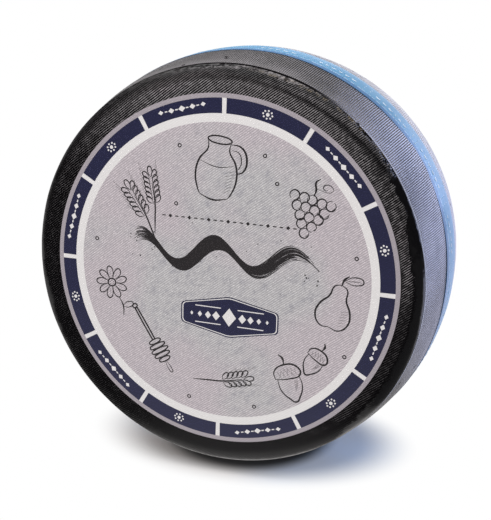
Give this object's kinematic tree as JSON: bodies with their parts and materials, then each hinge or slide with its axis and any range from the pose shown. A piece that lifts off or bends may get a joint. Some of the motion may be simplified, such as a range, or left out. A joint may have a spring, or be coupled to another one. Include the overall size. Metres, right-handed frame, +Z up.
{
  "type": "cheese wheel",
  "caption": "Whole round cheese wheel in a ridged black coat, standing on its bulged rim, with a printed label on its face and a blue printed band round its side.",
  "frame": {"origin": "centre of the bounding box on the surface that the wheel stands on, under the middle of its rim", "axes": "+Z up; the wheel's axis lies along Y and the labelled face looks towards -Y; +X is to the right of someone who faces the label"},
  "size_m": [0.27, 0.133, 0.2693],
  "materials": {
    "black_coat": "glossy black latex coat with fine cloth ridges",
    "face_print": "printed label under a thin coat, satin",
    "side_print": "printed band under a thin coat, satin"
  },
  "bodies": {
    "root": {"coated_wheel": "black_coat", "face_label": "face_print", "side_label": "side_print"}
  },
  "joints": []
}
